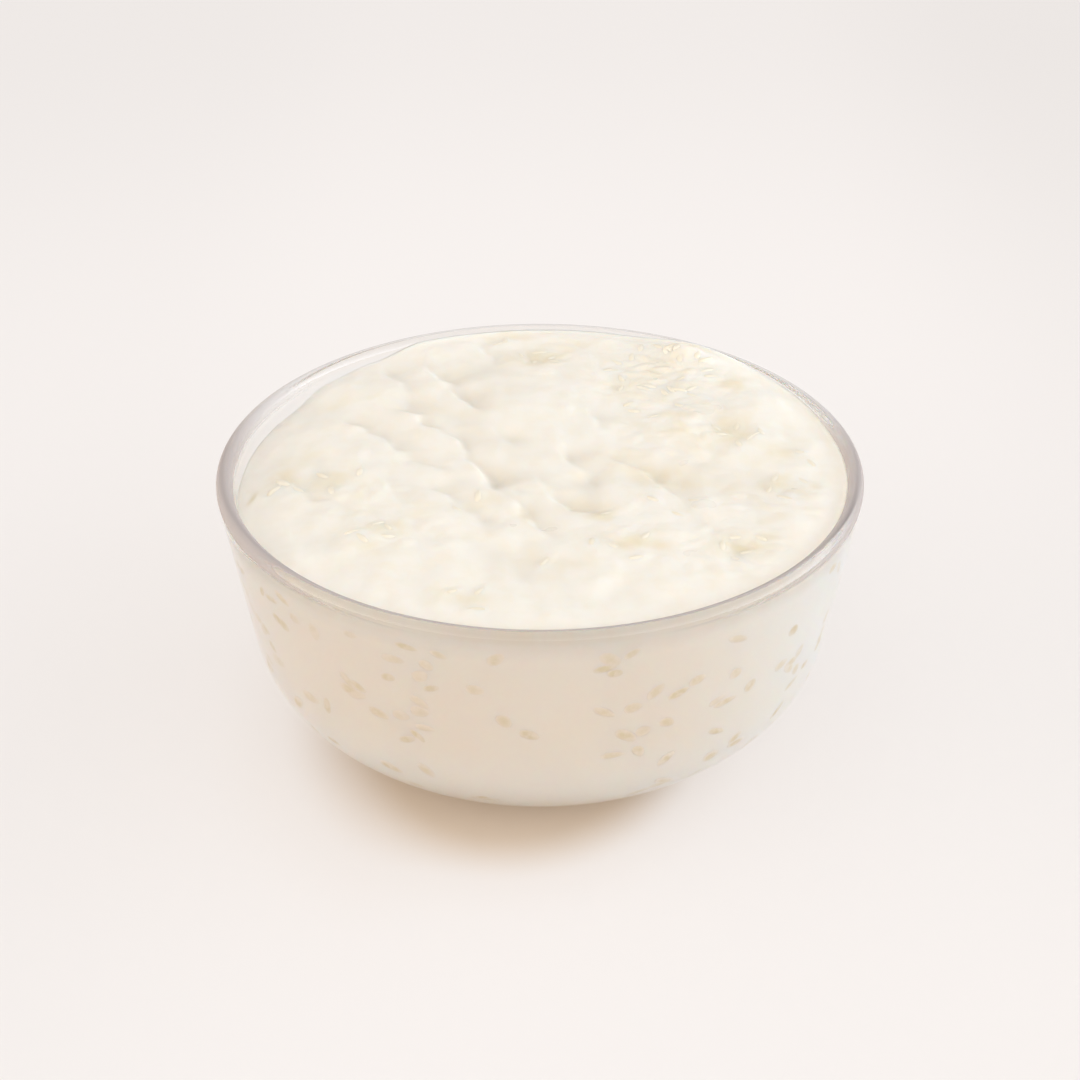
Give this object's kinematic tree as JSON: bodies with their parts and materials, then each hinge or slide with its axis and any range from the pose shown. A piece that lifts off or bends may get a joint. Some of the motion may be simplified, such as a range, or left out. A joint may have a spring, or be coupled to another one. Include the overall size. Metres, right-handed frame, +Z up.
{
  "type": "rice pudding in a glass bowl",
  "caption": "Rice pudding with a folded creamy top and grains that show, filling a clear, round glass bowl with a rounded lip and a flat base.",
  "frame": {"origin": "centre of the bowl's flat base, on the surface it stands on", "axes": "+Z up, +X to the right and +Y to the back as seen by someone in front of the bowl"},
  "size_m": [0.17, 0.17, 0.0769],
  "materials": {
    "glass": "clear polished glass",
    "pudding": "moist cream with soft grains"
  },
  "bodies": {
    "root": {"bowl": "glass", "pudding": "pudding"}
  },
  "joints": []
}
